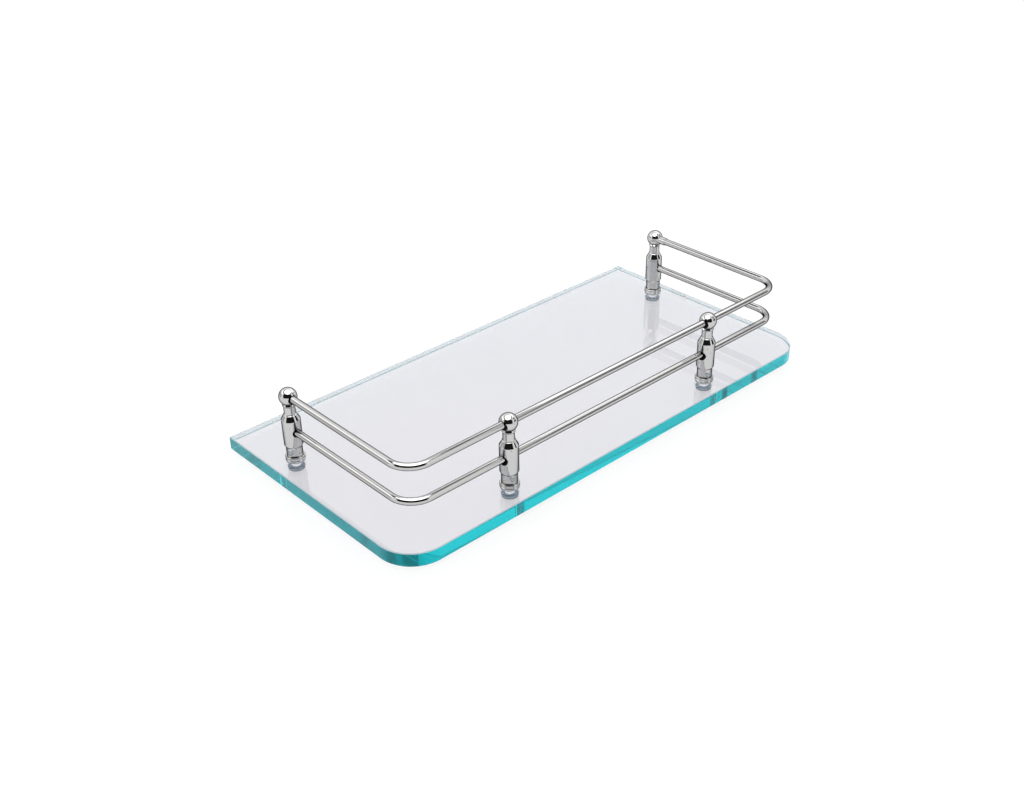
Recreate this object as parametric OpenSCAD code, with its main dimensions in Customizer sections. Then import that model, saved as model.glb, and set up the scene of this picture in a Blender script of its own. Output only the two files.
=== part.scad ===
// Glass wall shelf with a two-rail gallery.
//
// A clear glass panel carries four turned posts. Two round rods, each bent into a U,
// run round the left side, the front and the right side: the upper rod goes through the
// balls on top of the posts, the lower one through their bodies. Both rods end in blind
// holes in the two rear posts. A screw from below clamps each post to the glass, with a
// foot collar and a clear gasket above the glass and a clear flanged bush below it.
//
// Frame: +X along the wall, +Y towards the wall, +Z up. The origin is the middle of the
// panel's wall edge, half way through the glass. Heights of the posts and rails are
// given above the top face of the glass.

/* [Glass panel] */
// Length of the panel along the wall
panel_l = 304.8; // [250:0.1:600]
// Depth of the panel, from the wall edge to the front edge
panel_d = 152.4; // [110:0.1:250]
// Thickness of the glass
glass_t = 8; // [6:0.5:12]
// Radius of the two front corners, seen from above
corner_r = 20.5; // [12:0.5:32]
// Width of the 45-degree arris ground along every edge
arris_w = 0.6; // [0.2:0.1:1.5]
// Diameter of the four screw holes through the glass
glass_hole_d = 6; // [5.2:0.1:8]

/* [Where the posts stand] */
// Distance between the two front posts
front_post_pitch = 150.8; // [60:0.1:152.4]
// Rail centre line to the front edge of the glass
front_inset = 13.5; // [10:0.5:25]
// Rail centre line to each side edge of the glass
side_inset = 13.5; // [10:0.5:25]
// Rear posts' axis to the wall edge of the glass
rear_setback = 43; // [15:0.5:50]

/* [Rails] */
// Diameter of the rail rod
rail_d = 4; // [3:0.1:4.8]
// Radius of the rail's two bends, to the rod's centre line
rail_bend_r = 13; // [8:0.5:20]
// Height of the upper rail's centre line
upper_rail_h = 38.2; // [36:0.1:60]
// Height of the lower rail's centre line
lower_rail_h = 18.5; // [17.8:0.1:20]
// Gap all round between the rod and its hole in a post
rail_gap = 0.08; // [0.03:0.01:0.15]
// How far a rod's end reaches past the axis of a rear post
rail_past_axis = 1.8; // [0:0.1:2.2]
// Gap between a rod's end and the bottom of its blind hole
rail_end_gap = 0.2; // [0.1:0.05:0.5]

/* [Post] */
// Diameter of the ball on top
ball_d = 9.75; // [8:0.05:12]
// Diameter of the small bead under the ball
bead_d = 7.1; // [6.4:0.1:8]
// Radius of the bead's rounded section
bead_section_r = 0.6; // [0.4:0.05:0.9]
// Centre of the bead below the centre of the ball
bead_below_ball = 4.55; // [4.2:0.05:5]
// Diameter at the narrowest place of the neck
waist_d = 6.2; // [4.8:0.05:6.4]
// Top of the waist below the centre of the ball
waist_below_ball = 5.7; // [5.5:0.1:9]
// Foot of the waist above the shoulder
waist_above_shoulder = 1; // [0.9:0.1:4]
// Radius of the neck's hollow curves, above and below its waist
neck_curve_r = 1; // [0.8:0.1:1.2]
// Diameter at the top of the sloped shoulder
shoulder_top_d = 7.1; // [6.6:0.1:8]
// Height of the sloped shoulder
shoulder_h = 2.8; // [2:0.1:4]
// Diameter of the main body
body_d = 10.1; // [9:0.1:14]
// Top of the main body above the lower rail
body_above_rail = 6.6; // [3.5:0.1:7]
// Bottom of the main body below the lower rail
body_below_rail = 8.5; // [4:0.1:9]
// Diameter of the slimmer lower body
lower_body_d = 8.7; // [8:0.1:9]
// Height of the slope between the main and the lower body
body_step_h = 1.2; // [0.6:0.1:1.6]

/* [Foot collar and gasket] */
// Height of the foot collar
collar_h = 3.2; // [2.6:0.1:4]
// Largest diameter of the collar's two beads
collar_d = 10.5; // [10.2:0.1:14]
// Diameter of the groove between the two beads
collar_groove_d = 10; // [9.6:0.1:10]
// Radius of the collar beads' rounded section
collar_bead_r = 0.75; // [0.5:0.05:0.85]
// Depth of the seat that centres the post in the collar
collar_seat_h = 0.6; // [0.3:0.1:1]
// Gap all round between the post and its seat in the collar
collar_seat_gap = 0.06; // [0.03:0.01:0.15]
// Thickness of the clear gasket on top of the glass
gasket_t = 0.4; // [0.3:0.1:1.5]
// Diameter of the clear gasket
gasket_d = 10; // [8:0.1:12]

/* [Bush under the glass] */
// Thickness of the clear bush's flange
bush_flange_t = 0.8; // [0.5:0.1:2]
// Diameter of the bush's flange
bush_flange_d = 9.1; // [9:0.1:14]
// Gap all round between the bush's sleeve and the glass
bush_gap = 0.1; // [0.05:0.01:0.2]
// Gap between the top of the sleeve and the top face of the glass
bush_top_gap = 1; // [0.5:0.1:3]

/* [Clamp screw] */
// Diameter of the screw's thread
screw_d = 4; // [3:0.5:4]
// Length of the screw under its head
screw_l = 20; // [18:1:21]
// Diameter of the low domed head
screw_head_d = 8.8; // [7.5:0.1:10]
// Height of the low domed head
screw_head_h = 1.9; // [1.5:0.1:3]
// Height of the head's straight rim, under the dome
screw_rim_h = 0.6; // [0.4:0.1:1]
// Gap all round between the screw and the bush, gasket and collar
screw_pass_gap = 0.2; // [0.1:0.05:0.3]
// Gap all round between the thread's cylinder and the tapped hole's cylinder
thread_gap = 0.05; // [0.02:0.01:0.1]
// Depth left free in the tapped hole past the end of the screw
tap_past_screw = 1.5; // [0.5:0.1:2]
// Length of one arm of the head's cross recess, tip to tip
recess_l = 4.6; // [3:0.1:5]
// Width of one arm of the head's cross recess
recess_w = 1; // [0.8:0.1:1.4]
// Depth of the head's cross recess
recess_h = 1.1; // [0.8:0.1:1.3]

/* [Hidden] */
$fn = 96;
cut = 1;  // how far a cutting shape runs past the solid that it cuts
least_waist = 0.05;  // a straight waist shorter than this is left out

glass_top = glass_t / 2;
glass_bottom = -glass_t / 2;

// Rail centre lines, and the four post axes that stand on them.
rail_x = panel_l / 2 - side_inset;
rail_y = -(panel_d - front_inset);
front_left = [-front_post_pitch / 2, rail_y];
front_right = [front_post_pitch / 2, rail_y];
rear_left = [-rail_x, -rear_setback];
rear_right = [rail_x, -rear_setback];
post_places = [front_left, front_right, rear_left, rear_right];

// Heights above the top face of the glass.
collar_top = gasket_t + collar_h;
post_bottom = collar_top - collar_seat_h;
body_bottom = lower_rail_h - body_below_rail;
body_top = lower_rail_h + body_above_rail;
neck_bottom = body_top + shoulder_h;
waist_z = upper_rail_h - waist_below_ball;
bead_z = upper_rail_h - bead_below_ball;
screw_seat = -(glass_t + bush_flange_t);
screw_tip = screw_seat + screw_l;

rail_hole_d = rail_d + 2 * rail_gap;
screw_pass_d = screw_d + 2 * screw_pass_gap;
rod_end_y = -rear_setback + rail_past_axis;

// Moves a piece to a post's axis, with z = 0 on the top face of the glass.
module on_glass(place) {
    translate([place[0], place[1], glass_top]) children();
}

// ---------------------------------------------------------------- glass panel

// The outline seen from above: square corners at the wall, round ones in front.
module panel_outline() {
    translate([-panel_l / 2, -panel_d + corner_r]) square([panel_l, panel_d - corner_r]);
    translate([-panel_l / 2 + corner_r, -panel_d]) square([panel_l - 2 * corner_r, panel_d]);
    for (side = [-1, 1])
        translate([side * (panel_l / 2 - corner_r), -panel_d + corner_r])
            circle(r = corner_r);
}

// The three-cornered section that an arris takes off the top edge. The edge is at
// [0, 0], the panel lies towards -X and below.
module arris_section() {
    polygon([[-arris_w, 0], [-arris_w - cut, cut], [cut, cut], [cut, -arris_w - cut], [0, -arris_w]]);
}

// A straight arris cutter that lies along +X and is centred on its own middle.
module straight_arris(length) {
    rotate([90, 0, 90]) linear_extrude(length, center = true) arris_section();
}

// All the arris cutters of the top face, at z = 0.
module arris_cutters() {
    corner_y = -panel_d + corner_r;
    straight_arris(panel_l + 2 * cut);
    translate([0, -panel_d, 0]) rotate([0, 0, 180]) straight_arris(panel_l - 2 * corner_r);
    for (side = [-1, 1]) {
        side_l = panel_d - corner_r + cut;
        translate([side * panel_l / 2, corner_y + side_l / 2, 0])
            rotate([0, 0, -side * 90]) straight_arris(side_l);
        translate([side * (panel_l / 2 - corner_r), corner_y, 0])
            rotate([0, 0, side > 0 ? -90 : 180]) rotate_extrude(angle = 90)
                translate([corner_r, 0]) arris_section();
    }
}

module glass_panel() {
    color([0.45, 0.85, 0.86, 0.5])
    difference() {
        translate([0, 0, glass_bottom]) linear_extrude(glass_t) panel_outline();
        translate([0, 0, glass_top]) arris_cutters();
        translate([0, 0, glass_bottom]) mirror([0, 0, 1]) arris_cutters();
        for (place = post_places)
            translate([place[0], place[1], glass_bottom - cut])
                cylinder(d = glass_hole_d, h = glass_t + 2 * cut);
    }
}

// ---------------------------------------------------------------------- rails

// One rod, bent into a U that is open towards the wall, with its centre line at z = 0.
module u_rod() {
    bend_x = rail_x - rail_bend_r;
    bend_y = rail_y + rail_bend_r;
    translate([0, rail_y, 0]) rotate([0, 90, 0]) cylinder(d = rail_d, h = 2 * bend_x, center = true);
    for (side = [-1, 1]) {
        translate([side * rail_x, bend_y, 0]) rotate([-90, 0, 0]) cylinder(d = rail_d, h = rod_end_y - bend_y);
        translate([side * bend_x, bend_y, 0])
            rotate([0, 0, side > 0 ? -90 : 180]) rotate_extrude(angle = 90)
                translate([rail_bend_r, 0]) circle(d = rail_d);
    }
}

module upper_rail() {
    color([0.85, 0.86, 0.88]) translate([0, 0, glass_top + upper_rail_h]) u_rod();
}

module lower_rail() {
    color([0.85, 0.86, 0.88]) translate([0, 0, glass_top + lower_rail_h]) u_rod();
}

// ---------------------------------------------------------------------- posts

// Half of the ball's section.
module ball_section() {
    translate([0, upper_rail_h])
        intersection() {
            circle(d = ball_d);
            translate([0, -ball_d]) square([ball_d, 2 * ball_d]);
        }
}

// The bead under the ball, joined to the ball above it.
module bead_half_section() {
    bead_centre_r = bead_d / 2 - bead_section_r;
    translate([bead_centre_r, bead_z]) circle(r = bead_section_r);
    translate([0, bead_z - bead_section_r]) square([bead_centre_r, bead_below_ball]);
}

// The neck: as wide as the bead, with a hollow turned out of it. The hollow has a round
// curve at each end and a straight waist between them, which takes up the rail's height.
module neck_section() {
    low_waist_z = neck_bottom + waist_above_shoulder;
    difference() {
        translate([0, body_top]) square([bead_d / 2, bead_z - bead_section_r / 3 - body_top]);
        translate([waist_d / 2 + neck_curve_r, waist_z]) circle(r = neck_curve_r);
        if (waist_z - low_waist_z > least_waist) {
            translate([waist_d / 2 + neck_curve_r, low_waist_z]) circle(r = neck_curve_r);
            translate([waist_d / 2, low_waist_z]) square([bead_d, waist_z - low_waist_z]);
        }
    }
}

// The shoulder, the main body, the step and the lower body.
module body_section() {
    polygon([
        [0, post_bottom],
        [lower_body_d / 2, post_bottom],
        [lower_body_d / 2, body_bottom - body_step_h],
        [body_d / 2, body_bottom],
        [body_d / 2, body_top],
        [shoulder_top_d / 2, neck_bottom],
        [0, neck_bottom]]);
}

// A turned post with its tapped hole, before the rail holes are drilled.
module post_blank() {
    difference() {
        rotate_extrude() {
            ball_section();
            bead_half_section();
            neck_section();
            body_section();
        }
        translate([0, 0, post_bottom - cut])
            cylinder(d = screw_d + 2 * thread_gap, h = screw_tip + tap_past_screw - post_bottom + cut);
    }
}

// A front post: both rails run right through it, along X.
module front_post(place) {
    color([0.8, 0.81, 0.83])
    on_glass(place)
        difference() {
            post_blank();
            for (h = [lower_rail_h, upper_rail_h])
                translate([0, 0, h]) rotate([0, 90, 0])
                    cylinder(d = rail_hole_d, h = 2 * body_d, center = true);
        }
}

// A rear post: both rails end in it, in blind holes that open towards the front.
module rear_post(place) {
    hole_l = body_d + rail_past_axis + rail_end_gap;
    color([0.8, 0.81, 0.83])
    on_glass(place)
        difference() {
            post_blank();
            for (h = [lower_rail_h, upper_rail_h])
                translate([0, rail_past_axis + rail_end_gap, h]) rotate([90, 0, 0])
                    cylinder(d = rail_hole_d, h = hole_l);
        }
}

// ---------------------------------------- collars, gaskets, bushes and screws

// The foot collar: two beads with a groove between them, and a seat for the post.
module collar(place) {
    bead_centre_r = collar_d / 2 - collar_bead_r;
    color([0.78, 0.79, 0.81])
    on_glass(place)
        difference() {
            rotate_extrude() {
                translate([0, gasket_t]) square([collar_groove_d / 2, collar_h]);
                for (bead_height = [gasket_t + collar_bead_r, collar_top - collar_bead_r])
                    translate([bead_centre_r, bead_height]) circle(r = collar_bead_r);
            }
            translate([0, 0, gasket_t - cut]) cylinder(d = screw_pass_d, h = collar_h + 2 * cut);
            translate([0, 0, post_bottom])
                cylinder(d = lower_body_d + 2 * collar_seat_gap, h = collar_seat_h + cut);
        }
}

// The clear gasket between the collar and the glass.
module gasket(place) {
    color([0.9, 0.93, 0.95, 0.6])
    on_glass(place)
        difference() {
            cylinder(d = gasket_d, h = gasket_t);
            translate([0, 0, -cut]) cylinder(d = screw_pass_d, h = gasket_t + 2 * cut);
        }
}

// The clear bush: a flange under the glass and a sleeve that lines the screw hole.
module bush(place) {
    color([0.9, 0.93, 0.95, 0.6])
    on_glass(place)
        difference() {
            union() {
                translate([0, 0, screw_seat]) cylinder(d = bush_flange_d, h = bush_flange_t);
                translate([0, 0, screw_seat])
                    cylinder(d = glass_hole_d - 2 * bush_gap, h = bush_flange_t + glass_t - bush_top_gap);
            }
            translate([0, 0, screw_seat - cut])
                cylinder(d = screw_pass_d, h = bush_flange_t + glass_t + 2 * cut);
        }
}

// Half of the section of the screw's head: a straight rim with a low dome under it.
module screw_head_section() {
    dome_h = screw_head_h - screw_rim_h;
    dome_r = (pow(screw_head_d / 2, 2) + pow(dome_h, 2)) / (2 * dome_h);
    intersection() {
        translate([0, screw_seat - screw_head_h]) square([screw_head_d / 2, screw_head_h]);
        translate([0, screw_seat - screw_head_h + dome_r]) circle(r = dome_r);
    }
}

// One clamp screw, head down, with its cross recess.
module clamp_screw() {
    difference() {
        union() {
            rotate_extrude() screw_head_section();
            translate([0, 0, screw_seat - screw_rim_h / 2]) cylinder(d = screw_d, h = screw_l + screw_rim_h / 2);
        }
        for (turn = [0, 90])
            rotate([0, 0, turn])
                translate([-recess_l / 2, -recess_w / 2, screw_seat - screw_head_h - cut])
                    cube([recess_l, recess_w, recess_h + cut]);
    }
}

module clamp_screws() {
    color([0.6, 0.61, 0.63])
    for (place = post_places)
        on_glass(place) clamp_screw();
}

glass_panel();
upper_rail();
lower_rail();
front_post(front_left);  // post_front_left
front_post(front_right);  // post_front_right
rear_post(rear_left);  // post_rear_left
rear_post(rear_right);  // post_rear_right
collar(front_left);  // collar_front_left
collar(front_right);  // collar_front_right
collar(rear_left);  // collar_rear_left
collar(rear_right);  // collar_rear_right
gasket(front_left);  // gasket_front_left
gasket(front_right);  // gasket_front_right
gasket(rear_left);  // gasket_rear_left
gasket(rear_right);  // gasket_rear_right
bush(front_left);  // bush_front_left
bush(front_right);  // bush_front_right
bush(rear_left);  // bush_rear_left
bush(rear_right);  // bush_rear_right
clamp_screws();
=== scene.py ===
# %% [markdown]
# # A glass wall shelf with a two-rail gallery
#
# The shelf is a small clear glass panel. Four turned posts stand on it, and two chromed
# rods run round three of its sides. This notebook gives each piece its true form and
# finish, one step at a time, and stands the shelf on a white table in soft light.
#
# The first step loads the frame: the plain solids of every piece, in metres, already in
# their places. They tell us where everything goes, so nothing is placed by eye.

# %% Load the frame
import bpy
import bmesh
import math
from mathutils import Matrix, Vector


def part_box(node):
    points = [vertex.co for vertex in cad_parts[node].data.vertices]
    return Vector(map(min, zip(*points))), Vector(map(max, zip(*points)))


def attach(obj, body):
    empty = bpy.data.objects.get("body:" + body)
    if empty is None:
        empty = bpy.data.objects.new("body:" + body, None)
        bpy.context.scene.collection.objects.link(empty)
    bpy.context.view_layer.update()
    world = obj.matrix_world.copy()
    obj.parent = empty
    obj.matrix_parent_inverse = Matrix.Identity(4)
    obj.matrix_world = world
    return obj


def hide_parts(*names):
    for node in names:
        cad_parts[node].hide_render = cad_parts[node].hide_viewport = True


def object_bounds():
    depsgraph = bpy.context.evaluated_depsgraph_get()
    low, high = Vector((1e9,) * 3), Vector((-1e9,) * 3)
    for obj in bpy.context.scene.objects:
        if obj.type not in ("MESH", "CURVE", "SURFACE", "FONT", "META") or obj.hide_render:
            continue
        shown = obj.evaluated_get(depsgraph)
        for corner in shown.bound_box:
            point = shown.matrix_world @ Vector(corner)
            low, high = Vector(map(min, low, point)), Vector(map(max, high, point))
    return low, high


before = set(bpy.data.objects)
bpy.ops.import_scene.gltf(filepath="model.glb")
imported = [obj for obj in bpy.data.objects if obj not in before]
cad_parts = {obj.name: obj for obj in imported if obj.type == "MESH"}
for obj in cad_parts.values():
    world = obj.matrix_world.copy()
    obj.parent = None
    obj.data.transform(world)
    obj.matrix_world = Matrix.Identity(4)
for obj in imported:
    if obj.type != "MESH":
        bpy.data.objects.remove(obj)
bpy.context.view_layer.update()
MM = 0.001

# %% [markdown]
# ## The camera
#
# A camera is a place, a direction and a lens. The direction is given in plain terms: how
# far round the shelf, how high above it, and a slight tilt of the camera to one side.

# %% The camera
def look_from(round_deg, height_deg, tilt_deg):
    """The camera's own axes, as a turn matrix."""
    a, e, r = (math.radians(d) for d in (round_deg, height_deg, tilt_deg))
    back = Vector((math.sin(a) * math.cos(e), -math.cos(a) * math.cos(e), math.sin(e)))
    right = (-back).cross(Vector((0, 0, 1))).normalized()
    turn = Matrix((right, back.cross(right), back)).transposed()
    return turn @ Matrix.Rotation(r, 3, "Z")


SENSOR_MM = 36
LENS_MM = 44.32
CAMERA_PLACE = (-0.4226, -0.5253, 0.3697)
ROUND_DEG, HEIGHT_DEG, TILT_DEG = -42.16, 31.26, -1.14
camera_data = bpy.data.cameras.new("studio_camera")
camera_data.sensor_width = SENSOR_MM
camera_data.lens = LENS_MM
camera = bpy.data.objects.new("studio_camera", camera_data)
bpy.context.scene.collection.objects.link(camera)
turn = look_from(ROUND_DEG, HEIGHT_DEG, TILT_DEG)
camera.matrix_world = Matrix.Translation(CAMERA_PLACE) @ turn.to_4x4()
bpy.context.scene.camera = camera
print("camera stands", round(camera.location.length, 3), "m from the shelf")

# %% [markdown]
# ## The white table and the light
#
# A clear and chromed object has almost no colour of its own. It shows the room. So the
# room is built first: a white table, a white tent of light all round, a bright soft box
# overhead, and dark cards at the sides, as studios use them to give chrome its black
# accents. The cards only show in mirror reflections: they are hidden from the camera,
# from light that comes through the glass and from diffuse light. The table glows a
# little, which keeps it white. It can be seen through from below, so that the underside
# of the shelf can be looked at too.

# %% A helper for flat cards
def flat_card(name, width, height, place, facing, sides=4):
    """A flat card at a place, with its face turned towards a point."""
    bm = bmesh.new()
    reach = 0.5 / math.cos(math.pi / sides)
    bmesh.ops.create_circle(bm, cap_ends=True, segments=sides, radius=reach)
    half_side = Matrix.Rotation(math.pi / sides, 3, "Z")
    bmesh.ops.rotate(bm, cent=(0, 0, 0), matrix=half_side, verts=bm.verts)
    bmesh.ops.scale(bm, vec=(width, height, 1), verts=bm.verts)
    turn = (Vector(facing) - Vector(place)).to_track_quat("Z", "Y").to_matrix()
    bmesh.ops.rotate(bm, cent=(0, 0, 0), matrix=turn, verts=bm.verts)
    bmesh.ops.translate(bm, vec=place, verts=bm.verts)
    mesh = bpy.data.meshes.new(name)
    bm.to_mesh(mesh)
    bm.free()
    card = bpy.data.objects.new(name, mesh)
    bpy.context.scene.collection.objects.link(card)
    return card


def new_material(name):
    """An empty node material, its nodes, its links and its output."""
    material = bpy.data.materials.new(name)
    material.use_nodes = True
    nodes = material.node_tree.nodes
    nodes.clear()
    return material, nodes, material.node_tree.links, nodes.new("ShaderNodeOutputMaterial")


# %% The white table
TABLE_SIZE = 8
TABLE_GLOW = 0.76
table_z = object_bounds()[0][2]
table = flat_card("white_table", TABLE_SIZE, TABLE_SIZE, (0, 0, table_z), (0, 0, 1))
paint, nodes, links, out = new_material("table_white")
white = nodes.new("ShaderNodeBsdfPrincipled")
white.inputs["Roughness"].default_value = 0.9
white.inputs["Specular IOR Level"].default_value = 0
white.inputs["Emission Color"].default_value = (1, 1, 1, 1)
white.inputs["Emission Strength"].default_value = TABLE_GLOW
side = nodes.new("ShaderNodeNewGeometry")
nothing = nodes.new("ShaderNodeBsdfTransparent")
one_way = nodes.new("ShaderNodeMixShader")
links.new(side.outputs["Backfacing"], one_way.inputs["Fac"])
links.new(white.outputs["BSDF"], one_way.inputs[1])
links.new(nothing.outputs["BSDF"], one_way.inputs[2])
links.new(one_way.outputs["Shader"], out.inputs["Surface"])
where = nodes.new("ShaderNodeTexCoord")
fibres = nodes.new("ShaderNodeTexNoise")
fibres.inputs["Scale"].default_value = 60
fibres.inputs["Detail"].default_value = 6
paper = nodes.new("ShaderNodeValToRGB")
paper.color_ramp.elements[0].color = (0.235, 0.235, 0.235, 1)
paper.color_ramp.elements[1].color = (0.265, 0.265, 0.265, 1)
links.new(where.outputs["Object"], fibres.inputs["Vector"])
links.new(fibres.outputs["Fac"], paper.inputs["Fac"])
links.new(paper.outputs["Color"], white.inputs["Base Color"])
table.data.materials.append(paint)
print("table top at", round(table_z / MM, 2), "mm")

# %% The light tent
BRIGHT_SIDE = (0.45, 0.75, 0.49)
DIMMEST, BRIGHTEST = 1.05, 1.30
world = bpy.data.worlds.new("light_tent")
world.use_nodes = True
bpy.context.scene.world = world
nodes, links = world.node_tree.nodes, world.node_tree.links
sky = nodes["Background"]
sky.inputs["Color"].default_value = (1, 1, 1, 1)
way = nodes.new("ShaderNodeTexCoord")
towards = nodes.new("ShaderNodeVectorMath")
towards.operation = "DOT_PRODUCT"
towards.inputs[1].default_value = BRIGHT_SIDE
grade = nodes.new("ShaderNodeMapRange")
grade.inputs["From Min"].default_value = -1
grade.inputs["From Max"].default_value = 1
grade.inputs["To Min"].default_value = DIMMEST
grade.inputs["To Max"].default_value = BRIGHTEST
links.new(way.outputs["Generated"], towards.inputs[0])
links.new(towards.outputs["Value"], grade.inputs["Value"])
links.new(grade.outputs["Result"], sky.inputs["Strength"])

# %% The soft box and the dark cards
SHELF_MIDDLE = (0, -0.08, 0.03)


def at_direction(round_deg, height_deg, distance):
    """A place seen from the shelf: so far round, so high, so far away."""
    a, e = math.radians(round_deg), math.radians(height_deg)
    flat = distance * math.cos(e)
    return math.sin(a) * flat, -math.cos(a) * flat, distance * math.sin(e)


def studio_card(name, round_deg, height_deg, distance, half_wide, half_high, strength, sides):
    """A glowing or dark card that fills a window of the given half angles."""
    wide, high = (2 * distance * math.tan(math.radians(h)) for h in (half_wide, half_high))
    place = at_direction(round_deg, height_deg, distance)
    card = flat_card(name, wide, high, place, SHELF_MIDDLE, sides)
    glow, nodes, links, out = new_material(name)
    lamp = nodes.new("ShaderNodeEmission")
    lamp.inputs["Strength"].default_value = strength
    links.new(lamp.outputs["Emission"], out.inputs["Surface"])
    card.data.materials.append(glow)
    card.visible_camera = False
    card.visible_transmission = False
    card.visible_diffuse = False


# Each card: name, degrees round and high, metres away, half angles, strength, sides.
CARDS = (
    ("soft_box", -42, 78, 0.80, 30, 30, 3.6, 8),
    ("soft_box_frame", -42, 78, 0.83, 40, 39, 0.15, 8),
    ("dark_card", -40, 29, 0.95, 47, 24, 0.015, 4),
    ("dark_stand", 40, 12, 1.0, 14, 8, 0.02, 4),
    ("grey_card", 47, 33, 1.1, 13, 10, 0.35, 4),
    ("side_light", 88, 50, 0.9, 24, 9, 2.2, 4),
    ("back_light", -136, 37, 0.9, 22, 5, 2.2, 4),
    ("back_flag", -136, 9, 1.0, 26, 15, 0.62, 4),
)
for card in CARDS:
    studio_card(*card)
print(len(CARDS), "cards stand round the shelf")

# %% [markdown]
# ## How the picture is developed
#
# The plain "Standard" view keeps white paper white and colours as strong as they are.
# Light that enters glass bounces along inside it many times before it leaves, so the
# number of bounces is raised, or the edges of the panel would turn black.

# %% View and bounces
bpy.context.scene.view_settings.view_transform = "Standard"
CLEAR_BOUNCES = 40
cycles = bpy.context.scene.cycles
cycles.max_bounces = CLEAR_BOUNCES
cycles.transmission_bounces = CLEAR_BOUNCES
cycles.glossy_bounces = CLEAR_BOUNCES
cycles.diffuse_bounces = 3

# %% [markdown]
# ## Two workshop helpers
#
# Every piece ends in the same way, so one helper does it: it makes the mesh an object,
# gives it its finish, and hides the plain solid it stands for. Shading is smooth except
# where two faces meet at more than 32 degrees, so a turned curve looks round and a cut
# edge stays crisp.
#
# The second helper is the drill. A boolean modifier takes a cutter's shape away from a
# piece, and applying it makes the cut real. The exact solver is slower than the fast one
# but leaves clean, closed surfaces, which glass needs.

# %% Pieces
CRISP = math.radians(32)


def make_piece(bm, name, material, stands_for):
    """Makes a mesh a finished piece that stands for one plain solid."""
    mesh = bpy.data.meshes.new(name)
    bm.to_mesh(mesh)
    bm.free()
    piece = bpy.data.objects.new(name, mesh)
    bpy.context.scene.collection.objects.link(piece)
    mesh.materials.append(material)
    mesh.shade_smooth()
    mesh.set_sharp_from_angle(angle=CRISP)
    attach(piece, "root")
    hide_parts(stands_for)
    print(name, len(mesh.polygons), "faces")
    return piece


def drill(piece, cutter_bm):
    """Cuts a shape out of a piece for good."""
    mesh = bpy.data.meshes.new("drill")
    cutter_bm.to_mesh(mesh)
    cutter_bm.free()
    cutter = bpy.data.objects.new("drill", mesh)
    bpy.context.scene.collection.objects.link(cutter)
    cut = piece.modifiers.new("drill", "BOOLEAN")
    cut.operation = "DIFFERENCE"
    cut.solver = "EXACT"
    cut.object = cutter
    with bpy.context.temp_override(object=piece, active_object=piece):
        bpy.ops.object.modifier_apply(modifier="drill")
    bpy.data.objects.remove(cutter)
    bpy.data.meshes.remove(mesh)
    piece.data.set_sharp_from_angle(angle=CRISP)


# %% [markdown]
# ## The glass
#
# Ordinary sheet glass is almost clear through its thickness and strongly blue-green
# through its edge, because iron in it takes the red out of light a little for every
# millimetre. A tint painted on the surfaces can't do both, so most of the colour is put
# inside: a volume absorption that works by length. Light that reaches the edge has run
# far along the panel, and arrives deep in colour. The edge faces also carry a teal tint
# of their own. The broad faces carry a rose tint that takes out the blue-green and darkens
# the glass: partly the glass's own colour, and partly painted shade for the shadow the
# shelf would cast on the table beneath.
#
# The edges are ground and then polished, so they scatter a little, and the narrow slanted
# arrises are only ground, so they are matt and pale. A number stored on each face, called
# "ground", tells the material which is which.

# %% Clear glass
def principled(nodes, links, out):
    """The main shader, joined to the material's output."""
    shader = nodes.new("ShaderNodeBsdfPrincipled")
    links.new(shader.outputs["BSDF"], out.inputs["Surface"])
    return shader


EDGE_MARK = 0.24
ARRIS_MARK = 1.0
# The broad faces' tint is partly the glass's own colour and partly painted shade for the table
# beneath.
FACE_TINT_AND_SHADE, EDGE_TINT = (1.0, 0.83, 0.865, 1), (0.06, 0.92, 0.95, 1)
ARRIS_TINT = (0.66, 0.69, 0.75, 1)
EDGE_GLINT = (0.10, 0.60, 0.65, 1)
IRON_TINT = (0.10, 0.84, 0.86, 1)
IRON_DENSITY = 23.0
clear_glass, nodes, links, out = new_material("clear_glass")
glass = principled(nodes, links, out)
glass.inputs["IOR"].default_value = 1.5
ground = nodes.new("ShaderNodeAttribute")
ground.attribute_name = "ground"
where = nodes.new("ShaderNodeTexCoord")
grit = nodes.new("ShaderNodeTexNoise")
grit.inputs["Scale"].default_value = 6000
grit.inputs["Detail"].default_value = 3
links.new(where.outputs["Object"], grit.inputs["Vector"])
frost = nodes.new("ShaderNodeMath")
frost.operation = "MULTIPLY"
links.new(ground.outputs["Fac"], frost.inputs[0])
links.new(grit.outputs["Fac"], frost.inputs[1])
soften = nodes.new("ShaderNodeMath")
soften.operation = "MULTIPLY"
soften.inputs[1].default_value = 0.5
links.new(frost.outputs["Value"], soften.inputs[0])
links.new(soften.outputs["Value"], glass.inputs["Roughness"])
stoned = nodes.new("ShaderNodeMapRange")
stoned.inputs["From Min"].default_value = 0.5
stoned.inputs["From Max"].default_value = ARRIS_MARK
links.new(ground.outputs["Fac"], stoned.inputs["Value"])
polished = nodes.new("ShaderNodeMapRange")
polished.inputs["From Max"].default_value = EDGE_MARK
links.new(ground.outputs["Fac"], polished.inputs["Value"])
clear = nodes.new("ShaderNodeValToRGB")
clear.color_ramp.elements[0].color = (1, 1, 1, 1)
clear.color_ramp.elements[1].color = (0.30, 0.30, 0.30, 1)
edge_clear = clear.color_ramp.elements.new(EDGE_MARK)
edge_clear.color = (0.86, 0.86, 0.86, 1)
links.new(ground.outputs["Fac"], clear.inputs["Fac"])
links.new(clear.outputs["Color"], glass.inputs["Transmission Weight"])
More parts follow.
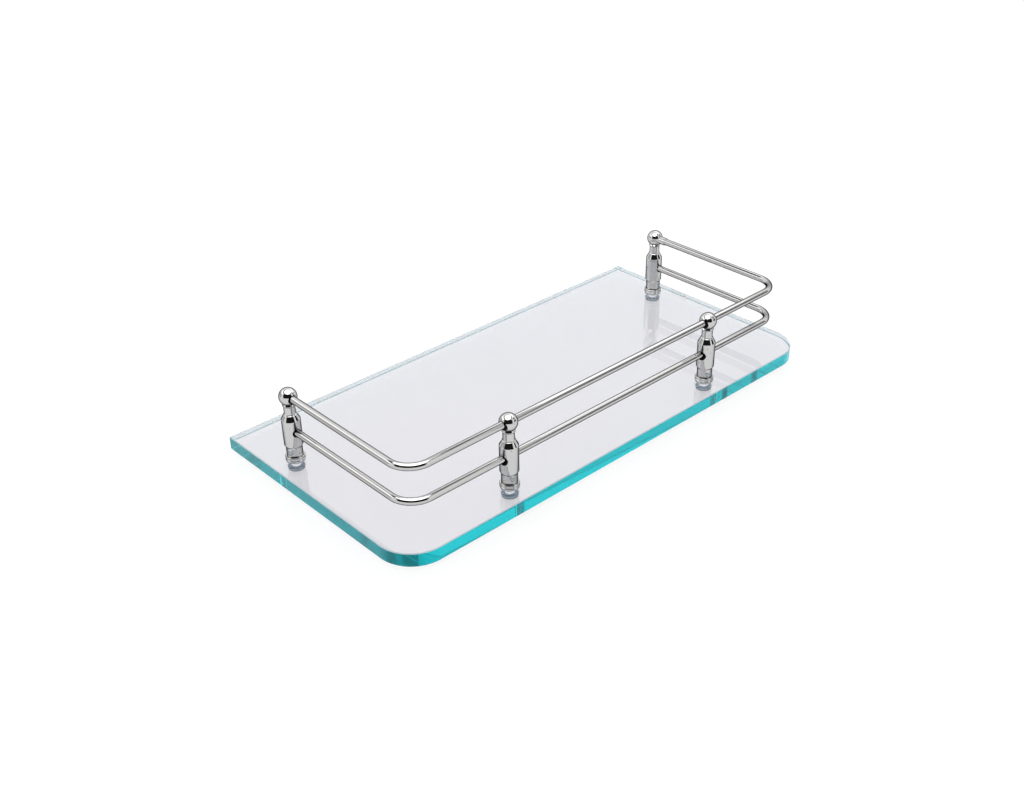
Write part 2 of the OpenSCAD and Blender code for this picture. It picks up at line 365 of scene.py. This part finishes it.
# Broad faces take the tint with painted shade, and polished edges take the teal tint.
tint = nodes.new("ShaderNodeMix")
tint.data_type = "RGBA"
tint.inputs[6].default_value = FACE_TINT_AND_SHADE
tint.inputs[7].default_value = EDGE_TINT
links.new(polished.outputs["Result"], tint.inputs[0])
glint = nodes.new("ShaderNodeMix")
glint.data_type = "RGBA"
glint.inputs[6].default_value = (1, 1, 1, 1)
glint.inputs[7].default_value = EDGE_GLINT
links.new(polished.outputs["Result"], glint.inputs[0])
links.new(glint.outputs[2], glass.inputs["Specular Tint"])
matt = nodes.new("ShaderNodeMix")
matt.data_type = "RGBA"
matt.inputs[7].default_value = ARRIS_TINT
links.new(stoned.outputs["Result"], matt.inputs[0])
links.new(tint.outputs[2], matt.inputs[6])
links.new(matt.outputs[2], glass.inputs["Base Color"])
soda = nodes.new("ShaderNodeVolumeAbsorption")
soda.inputs["Color"].default_value = IRON_TINT
soda.inputs["Density"].default_value = IRON_DENSITY
links.new(soda.outputs["Volume"], out.inputs["Volume"])

# %% [markdown]
# ## Shaping the panel
#
# The panel is one slab with two rounded corners at the front. It could be drawn as an
# outline and extruded, but a cube with two bevels is shorter: one wide bevel with many
# segments on the upright front edges, then one narrow flat bevel round the rims for the
# arris that a glazier grinds so that the edge doesn't cut.

# %% The panel
low, high = (Vector(corner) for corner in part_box("glass_panel"))
CORNER_R = 20.5 * MM
ARRIS_W = 0.45 * MM
bm = bmesh.new()
bmesh.ops.create_cube(bm, size=1)
bmesh.ops.scale(bm, vec=high - low, verts=bm.verts)
bmesh.ops.translate(bm, vec=(low + high) / 2, verts=bm.verts)
upright = [e for e in bm.edges if abs(e.verts[0].co.z - e.verts[1].co.z) > 1 * MM]
front = [e for e in upright if e.verts[0].co.y < low.y + 1 * MM]
bmesh.ops.bevel(bm, geom=front, offset=CORNER_R, offset_type="OFFSET", affect="EDGES",
                segments=30, profile=0.5, material=-1)
rim = [e for e in bm.edges if abs(e.verts[0].co.z - e.verts[1].co.z) < 1e-6]
bmesh.ops.bevel(bm, geom=rim, offset=ARRIS_W, offset_type="OFFSET", affect="EDGES",
                segments=1, profile=0.5, material=-1)
ground_mark = bm.faces.layers.float.new("ground")
for face in bm.faces:
    face.normal_update()
    if abs(face.normal.z) < 0.3:
        face[ground_mark] = EDGE_MARK
    elif abs(face.normal.z) < 0.9:
        face[ground_mark] = ARRIS_MARK
panel = make_piece(bm, "shelf_glass", clear_glass, "glass_panel")

# %% [markdown]
# ## Drilling the glass
#
# A screw comes up through the glass under each post. The post's own box says where its
# axis is, so the holes can't miss.

# %% The drilled holes
HOLE_D = 6 * MM
DRILL_LENGTH = 20 * MM
post_names = ["front_left", "front_right", "rear_left", "rear_right"]


def post_axis(which):
    """The middle of a post, seen from above."""
    a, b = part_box("post_" + which)
    return (a[0] + b[0]) / 2, (a[1] + b[1]) / 2


bm = bmesh.new()
for which in post_names:
    x, y = post_axis(which)
    bmesh.ops.create_cone(bm, cap_ends=True, segments=64, radius1=HOLE_D / 2, radius2=HOLE_D / 2,
                          depth=DRILL_LENGTH, matrix=Matrix.Translation((x, y, 0)))
drill(panel, bm)
print("panel with holes:", len(panel.data.polygons), "faces")

# %% [markdown]
# ## Chrome
#
# Plating is a mirror that takes about half of the light. Its surface has a faint orange
# peel from the polishing wheel, so straight reflections waver, and here and there a pit
# where the plating didn't take. Roughness and bump are driven by noise, at a scale of
# about one millimetre, and the pits by cells. On the rods the noise follows the rod, as a
# drawing die leaves it.
#
# The dark rim is a shortcut, and not how chrome behaves: real plating gets brighter at a
# steep angle. Here it is darkened there, to stand in for dark surroundings that the rim
# of a round bar would mirror. The price is that a rod seen nearly end on goes almost
# black. A room with more dark shapes in it would be the honest way to get the same rim.

# %% Chrome
PIT_COLOUR = (0.03, 0.03, 0.03, 1)
RIM_COLOUR = (0.06, 0.06, 0.065, 1)


def chrome(name, shade, roughness, rim_dark=0.6, pits=0.0, attribute=None, stretch=(1, 1, 1)):
    """Bright plating: a mirror with an orange peel, a few pits and a darkened rim."""
    material, nodes, links, out = new_material(name)
    metal = principled(nodes, links, out)
    metal.inputs["Metallic"].default_value = 1
    metal.inputs["Specular Tint"].default_value = (0.10, 0.10, 0.11, 1)
    where = nodes.new("ShaderNodeTexCoord")
    along = where.outputs["Object"]
    if attribute:
        own = nodes.new("ShaderNodeAttribute")
        own.attribute_name = attribute
        along = own.outputs["Vector"]
    place = nodes.new("ShaderNodeMapping")
    place.inputs["Scale"].default_value = stretch
    links.new(along, place.inputs["Vector"])
    wave = nodes.new("ShaderNodeTexNoise")
    wave.inputs["Scale"].default_value = 700
    wave.inputs["Detail"].default_value = 3
    links.new(place.outputs["Vector"], wave.inputs["Vector"])
    polish = nodes.new("ShaderNodeMapRange")
    polish.inputs["From Min"].default_value = 0.3
    polish.inputs["From Max"].default_value = 0.7
    polish.inputs["To Min"].default_value = roughness * 0.6
    polish.inputs["To Max"].default_value = roughness * 1.4
    links.new(wave.outputs["Fac"], polish.inputs["Value"])
    links.new(polish.outputs["Result"], metal.inputs["Roughness"])
    cells = nodes.new("ShaderNodeTexVoronoi")
    cells.inputs["Scale"].default_value = 420
    links.new(where.outputs["Object"], cells.inputs["Vector"])
    pit = nodes.new("ShaderNodeMapRange")
    pit.inputs["From Min"].default_value = 0.16
    pit.inputs["From Max"].default_value = 0.06
    pit.inputs["To Min"].default_value = 0
    pit.inputs["To Max"].default_value = pits
    links.new(cells.outputs["Distance"], pit.inputs["Value"])
    colour = nodes.new("ShaderNodeMix")
    colour.data_type = "RGBA"
    colour.inputs[6].default_value = (*shade, 1)
    colour.inputs[7].default_value = PIT_COLOUR
    links.new(pit.outputs["Result"], colour.inputs[0])
    lean = nodes.new("ShaderNodeLayerWeight")
    lean.inputs["Blend"].default_value = 0.5
    rim = nodes.new("ShaderNodeMapRange")
    rim.inputs["From Min"].default_value = 0.42
    rim.inputs["From Max"].default_value = 0.75
    rim.inputs["To Max"].default_value = rim_dark
    links.new(lean.outputs["Facing"], rim.inputs["Value"])
    rimmed = nodes.new("ShaderNodeMix")
    rimmed.data_type = "RGBA"
    rimmed.inputs[7].default_value = RIM_COLOUR
    links.new(rim.outputs["Result"], rimmed.inputs[0])
    links.new(colour.outputs[2], rimmed.inputs[6])
    links.new(rimmed.outputs[2], metal.inputs["Base Color"])
    dent = nodes.new("ShaderNodeBump")
    dent.inputs["Strength"].default_value = 0.3
    dent.inputs["Distance"].default_value = 0.02 * MM
    links.new(wave.outputs["Fac"], dent.inputs["Height"])
    links.new(dent.outputs["Normal"], metal.inputs["Normal"])
    return material


post_chrome = chrome("post_chrome", (0.57, 0.57, 0.565), 0.05, pits=0.9)
rail_chrome = chrome("rail_chrome", (0.53, 0.525, 0.52), 0.05, rim_dark=0.78,
                     attribute="drawn", stretch=(1, 1, 0.02))
# Painted shade: the walls inside each mouth are near black, with a faint noise, to stand for the
# dark gap round each rod.
painted_shade_bore, nodes, links, out = new_material("painted_shade_bore")
bore = principled(nodes, links, out)
bore.inputs["Specular IOR Level"].default_value = 0.1
bore.inputs["Roughness"].default_value = 0.6
where = nodes.new("ShaderNodeTexCoord")
shade_noise = nodes.new("ShaderNodeTexNoise")
shade_noise.inputs["Scale"].default_value = 1500
black = nodes.new("ShaderNodeValToRGB")
black.color_ramp.elements[0].color = (0.003, 0.003, 0.003, 1)
black.color_ramp.elements[1].color = (0.012, 0.011, 0.011, 1)
links.new(where.outputs["Object"], shade_noise.inputs["Vector"])
links.new(shade_noise.outputs["Fac"], black.inputs["Fac"])
links.new(black.outputs["Color"], bore.inputs["Base Color"])
collar_chrome = chrome("collar_chrome", (0.62, 0.62, 0.61), 0.05, stretch=(0.1, 0.1, 3))

# %% [markdown]
# ## A lathe made of bmesh operators
#
# A post is turned, so it is modelled as a turner works: half an outline is drawn beside
# the axis and spun once round. Straight runs join two points, and an arc is itself a
# small spin of one point. Corners are eased a little, because no turned edge is perfectly
# sharp, and the eased edge is what catches the light.

# %% The lathe
glass_top = high.z
WELD = 0.002 * MM


def line_to(bm, last, r, h):
    """Draws a straight line to a radius and a height above the glass, in millimetres."""
    point = bm.verts.new((r * MM, 0, glass_top + h * MM))
    bm.edges.new((last, point))
    return point


def arc_to(bm, last, r, h, degrees, steps):
    """Draws an arc round a centre at a radius and a height."""
    centre = (r * MM, 0, glass_top + h * MM)
    made = bmesh.ops.spin(bm, geom=[last], cent=centre, axis=(0, 1, 0),
                          angle=math.radians(-degrees), steps=steps)
    return [g for g in made["geom_last"] if isinstance(g, bmesh.types.BMVert)][0]


def start_at(bm, r, h):
    """The first point of an outline."""
    return bm.verts.new((r * MM, 0, glass_top + h * MM))


def turn_on_lathe(bm, steps=96):
    """Spins the outline once round the axis and closes the seam."""
    bmesh.ops.spin(bm, geom=bm.edges[:] + bm.verts[:], cent=(0, 0, 0), axis=(0, 0, 1),
                   angle=2 * math.pi, steps=steps, use_merge=True)
    bmesh.ops.remove_doubles(bm, verts=bm.verts, dist=WELD)
    bmesh.ops.recalc_face_normals(bm, faces=bm.faces)


def ease(bm, corners, offset, segments=3):
    """Rounds corners of the drawn outline."""
    bmesh.ops.bevel(bm, geom=corners, offset=offset * MM, offset_type="OFFSET",
                    affect="VERTICES", segments=segments, profile=0.5, material=-1)


# %% [markdown]
# ## The outline of a post
#
# From the bottom: a short spigot, a flare to the round body, a cone in to the shoulder, a
# hollow neck, a small bead, and the ball on top. Heights and radii are in millimetres
# from the glass and from the axis.

# %% The outline of a post
BALL_R, BALL_H = 4.875, 38.2
SPIGOT_R, BODY_R, SHOULDER_R, NECK_R = 4.35, 5.05, 3.55, 3.1
BEAD_R = 2.98


def post_outline():
    """Half the outline of a post, beside the axis."""
    bm = bmesh.new()
    corners = []
    p = start_at(bm, 0, 3.0)
    for r, h in ((SPIGOT_R, 3.0), (SPIGOT_R, 8.8), (BODY_R, 10.0), (BODY_R, 25.1),
                 (SHOULDER_R, 27.9)):
        p = line_to(bm, p, r, h)
        corners.append(p)
    p = line_to(bm, p, SHOULDER_R, 28.065)
    p = arc_to(bm, p, 4.1, 28.9, -56.6, 8)
    p = line_to(bm, p, NECK_R, 32.5)
    p = arc_to(bm, p, 4.1, 32.5, -56.6, 8)
    p = line_to(bm, p, SHOULDER_R, 33.6)
    corners.append(p)
    p = line_to(bm, p, BEAD_R, 34.34)
    below = math.degrees(math.acos(BEAD_R / BALL_R))
    p = arc_to(bm, p, 0, BALL_H, below + 90, 40)
    ease(bm, corners, 0.16)
    return bm


# %% [markdown]
# ## The rail holes
#
# Each post is cross drilled for the two rods. The mouths are opened out a little where
# the rods go in, and their walls are painted near black: painted shade for the dark gap
# round each rod. Each mouth is two cuts: a shallow dish, and a straight wall from the dish
# to the outside. The front posts are drilled right through and the rear posts from the
# front only, where the rods end.

# %% The rail holes
RAIL_HOLE_D = 4.16 * MM
MOUTH_DEPTH = 0.45 * MM
DISH_LAP = 0.1 * MM
CUT_LAP = 0.01 * MM
CUT_REACH = 9 * MM
BLIND_REACH = 2 * MM


def drill_hole(piece, at, start, end):
    """Drills a hole along the Z axis of a place."""
    bm = bmesh.new()
    middle = at @ Matrix.Translation((0, 0, (start + end) / 2))
    bmesh.ops.create_cone(bm, cap_ends=True, segments=48, radius1=RAIL_HOLE_D / 2,
                          radius2=RAIL_HOLE_D / 2, depth=end - start, matrix=middle)
    drill(piece, bm)


def open_mouth(piece, at, side, out, wide):
    """Opens a hole's mouth: a shallow dish, then a straight wall to the outside."""
    small = RAIL_HOLE_D / 2 - DISH_LAP
    deep = out - MOUTH_DEPTH
    bm = bmesh.new()
    r1, r2 = (small, wide) if side > 0 else (wide, small)
    place = at @ Matrix.Translation((0, 0, side * (deep + out) / 2))
    bmesh.ops.create_cone(bm, cap_ends=True, segments=64, radius1=r1, radius2=r2,
                          depth=out - deep, matrix=place)
    drill(piece, bm)
    bm = bmesh.new()
    place = at @ Matrix.Translation((0, 0, side * (out - CUT_LAP + CUT_REACH) / 2))
    bmesh.ops.create_cone(bm, cap_ends=True, segments=64, radius1=wide, radius2=wide,
                          depth=CUT_REACH - out + CUT_LAP, matrix=place)
    drill(piece, bm)


# %% [markdown]
# ## Turning and drilling the four posts
#
# All four posts are the same turning. After the cuts, the faces inside each mouth are
# found by their place: near the hole's axis, and below the post's own surface. They get
# the near-black material: painted shade for the dark gap round each rod.

# %% The four posts
# Each hole: its height, the post's radius there, and whether it goes through the ball.
HOLES = ((18.5 * MM, BODY_R * MM, False), (BALL_H * MM, BALL_R * MM, True))
# Each mouth: its radius, and how far its centre is moved across and up, so that the
# painted shade inside it shows lower and to one side of the rod.
MOUTH = {"front": (2.75 * MM, -0.6 * MM, -0.5 * MM), "rear": (2.4 * MM, -0.25 * MM, -0.2 * MM)}
RIM_SLACK = 0.02 * MM
UNDER_SKIN = 0.06 * MM
for which in post_names:
    x, y = post_axis(which)
    bm = post_outline()
    turn_on_lathe(bm)
    bmesh.ops.translate(bm, vec=(x, y, 0), verts=bm.verts)
    post = make_piece(bm, "turned_post_" + which, post_chrome, "post_" + which)
    post.data.materials.append(painted_shade_bore)
    front = which.startswith("front")
    wide, over, up = MOUTH["front" if front else "rear"]
    over = over if front or x < 0 else -over
    for h, reach, in_ball in HOLES:
        lie = Matrix.Rotation(math.pi / 2, 4, "Y" if front else "X")
        at = Matrix.Translation((x, y, glass_top + h)) @ lie
        shift = (0, over, up) if front else (over, 0, up)
        mouth_at = Matrix.Translation(shift) @ at
        out = math.sqrt(reach ** 2 - (wide + abs(over)) ** 2)
        for side in (1, -1) if front else (1,):
            open_mouth(post, mouth_at, side, out, wide)
        drill_hole(post, at, -CUT_REACH if front else -BLIND_REACH, CUT_REACH)
    # Faces inside each mouth take the near-black painted shade.
    blackened = 0
    for face in post.data.polygons:
        c = face.center - Vector((x, y, glass_top))
        for h, reach, in_ball in HOLES:
            across = c.y - over if front else c.x - over
            off_axis = math.hypot(across, c.z - h - up)
            centre = Vector((0, 0, h if in_ball else c.z))
            if off_axis < wide + RIM_SLACK and (c - centre).length < reach - UNDER_SKIN:
                face.material_index = 1
                blackened += 1
    print(which, "blackened faces:", blackened)

# %% [markdown]
# ## Bending the rods
#
# Each rail is one round rod with two bends. It could be a curve with a round section, but
# a ring of edges that is pushed along and spun round each bend shows the way the real rod
# goes through a bender, and gives a clean mesh.
#
# While it is made, each point also learns where it is on the rod: sideways, upwards and
# along. The polish streaks read that, so they run with the rod and turn with its bends.

# %% The rods
ROD_D = 4 * MM
BEND_R = 13 * MM
ROD_SIDES = 32
BEND_STEPS = 24
GUARD = 1 * MM


def along_rod(co, x, front_y, z):
    """Where a point is on the rod: sideways, upwards, and along its length."""
    turn_x, turn_y = x - BEND_R, front_y + BEND_R
    side = 1 if co.x > 0 else -1
    flat_x = abs(co.x)
    if co.y >= turn_y:
        return flat_x - x, co.z - z, side * (turn_x + BEND_R * math.pi / 2 + co.y - turn_y)
    if flat_x <= turn_x:
        return front_y - co.y, co.z - z, side * flat_x
    swing = math.atan2(flat_x - turn_x, turn_y - co.y)
    out = math.hypot(flat_x - turn_x, turn_y - co.y) - BEND_R
    return out, co.z - z, side * (turn_x + BEND_R * swing)


def bend_rod(name, node):
    """Pushes and bends a ring of edges into a U-shaped rod."""
    a, b = (Vector(corner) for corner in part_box(node))
    r = ROD_D / 2
    x, front_y, end_y, z = b.x - r, a.y + r, b.y, (a.z + b.z) / 2
    bm = bmesh.new()
    at = Matrix.Translation((x, end_y, z)) @ Matrix.Rotation(math.pi / 2, 4, "X")
    bmesh.ops.create_circle(bm, cap_ends=False, segments=ROD_SIDES, radius=r, matrix=at)
    ring = bm.edges[:]
    first = ring[:]

    def push(vec):
        nonlocal ring
        made = bmesh.ops.extrude_edge_only(bm, edges=ring)["geom"]
        verts = [g for g in made if isinstance(g, bmesh.types.BMVert)]
        bmesh.ops.translate(bm, vec=vec, verts=verts)
        edges = [g for g in made if isinstance(g, bmesh.types.BMEdge)]
        ring = [edge for edge in edges if all(v in verts for v in edge.verts)]

    def bend(cent):
        nonlocal ring
        made = bmesh.ops.spin(bm, geom=ring, cent=cent, axis=(0, 0, 1),
                              angle=math.radians(-90), steps=BEND_STEPS)
        ring = [g for g in made["geom_last"] if isinstance(g, bmesh.types.BMEdge)]

    side = end_y - (front_y + BEND_R)
    push((0, -side + GUARD, 0))
    push((0, -GUARD, 0))
    bend((x - BEND_R, front_y + BEND_R, z))
    push((-GUARD, 0, 0))
    push((-2 * (x - BEND_R) + 2 * GUARD, 0, 0))
    push((-GUARD, 0, 0))
    bend((-x + BEND_R, front_y + BEND_R, z))
    push((0, GUARD, 0))
    push((0, side - GUARD, 0))
    for loop in (first, ring):
        bmesh.ops.edgeloop_fill(bm, edges=loop)
    bmesh.ops.remove_doubles(bm, verts=bm.verts, dist=WELD)
    bmesh.ops.recalc_face_normals(bm, faces=bm.faces)
    drawn = bm.verts.layers.float_vector.new("drawn")
    for vert in bm.verts:
        vert[drawn] = along_rod(vert.co, x, front_y, z)
    make_piece(bm, name, rail_chrome, node)


bend_rod("upper_rod", "upper_rail")
bend_rod("lower_rod", "lower_rail")

# %% [markdown]
# ## The plastic under and over the glass
#
# Steel must never press on glass. So a soft clear washer lies under each foot collar, and
# a bush with a flange lines the hole from below and keeps the screw off the glass. Both
# are moulded in milky plastic. Milky plastic lets some light through and scatters the
# rest, so the shader is part transmission, part plain body colour, with a cloudy noise in
# both colour and gloss.

# %% Milky plastic
clear_plastic, nodes, links, out = new_material("clear_plastic")
plastic = principled(nodes, links, out)
plastic.inputs["Transmission Weight"].default_value = 0.35
plastic.inputs["IOR"].default_value = 1.45
where = nodes.new("ShaderNodeTexCoord")
cloud = nodes.new("ShaderNodeTexNoise")
cloud.inputs["Scale"].default_value = 400
cloud.inputs["Detail"].default_value = 2
links.new(where.outputs["Object"], cloud.inputs["Vector"])
milk = nodes.new("ShaderNodeValToRGB")
milk.color_ramp.elements[0].color = (0.46, 0.55, 0.66, 1)
milk.color_ramp.elements[1].color = (0.60, 0.69, 0.80, 1)
links.new(cloud.outputs["Fac"], milk.inputs["Fac"])
links.new(milk.outputs["Color"], plastic.inputs["Base Color"])
haze = nodes.new("ShaderNodeMapRange")
haze.inputs["To Min"].default_value = 0.15
haze.inputs["To Max"].default_value = 0.35
links.new(cloud.outputs["Fac"], haze.inputs["Value"])
links.new(haze.outputs["Result"], plastic.inputs["Roughness"])

# %% [markdown]
# ## Turning the washers and bushes
#
# Both are rings, so each is one closed outline beside the axis, turned on the same lathe
# as the posts. Where two clear surfaces lie exactly on each other, a ray of light can't
# tell which it meets first, and the spot turns black. A gap of a twentieth of a
# millimetre keeps them apart, and nobody can see it.

# %% Washers and bushes
SKIN = 0.05
BORE_R = 2.2
WASHER_R, WASHER_T = 5.0, 0.4
FLANGE_R, FLANGE_LOW = 4.55, -8.8
SLEEVE_R, SLEEVE_TOP = 2.9, -1
GLASS_LOW = -8


def turn_ring(name, node, which, outline):
    """Turns a closed outline of radii and heights into a ring round a post's axis."""
    bm = bmesh.new()
    first = start_at(bm, *outline[0])
    last = first
    for r, h in outline[1:]:
        last = line_to(bm, last, r, h)
    bm.edges.new((last, first))
    ease(bm, bm.verts[:], 0.06, 2)
    turn_on_lathe(bm, 64)
    x, y = post_axis(which)
    bmesh.ops.translate(bm, vec=(x, y, 0), verts=bm.verts)
    make_piece(bm, name, clear_plastic, node)


washer = ((BORE_R, SKIN), (WASHER_R, SKIN), (WASHER_R, WASHER_T - SKIN), (BORE_R, WASHER_T - SKIN))
bush = ((BORE_R, FLANGE_LOW), (FLANGE_R, FLANGE_LOW), (FLANGE_R, GLASS_LOW - SKIN),
        (SLEEVE_R, GLASS_LOW - SKIN), (SLEEVE_R, SLEEVE_TOP), (BORE_R, SLEEVE_TOP))
for which in post_names:
    turn_ring("washer_" + which, "gasket_" + which, which, washer)
    turn_ring("flanged_bush_" + which, "bush_" + which, which, bush)

# %% [markdown]
# ## The pieces that keep their plain shape
#
# The foot collars and the screws were exact from the start: a collar is two rounded rings
# with a groove between them, and a screw has a low domed head with a cross recess. Their
# solids stay, and only their finish changes. The screws are bare steel, duller than the
# plating, so their shine is spread wider. Their colour is darker than bare steel: partly
# the steel, and partly painted shade for the heads, which lie in shade under the glass.

# %% Collars and screws
# Darker than bare steel: partly the steel, partly painted shade for the heads under the glass.
screw_steel = chrome("screw_steel", (0.24, 0.24, 0.235), 0.24, stretch=(2, 2, 0.2))
finishes = {"collar": collar_chrome, "clamp": screw_steel}
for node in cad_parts:
    kind = node.split("_")[0]
    if kind in finishes:
        for slot in bpy.data.objects[node].material_slots:
            slot.material = finishes[kind]
        print(node, "is finished in", finishes[kind].name)
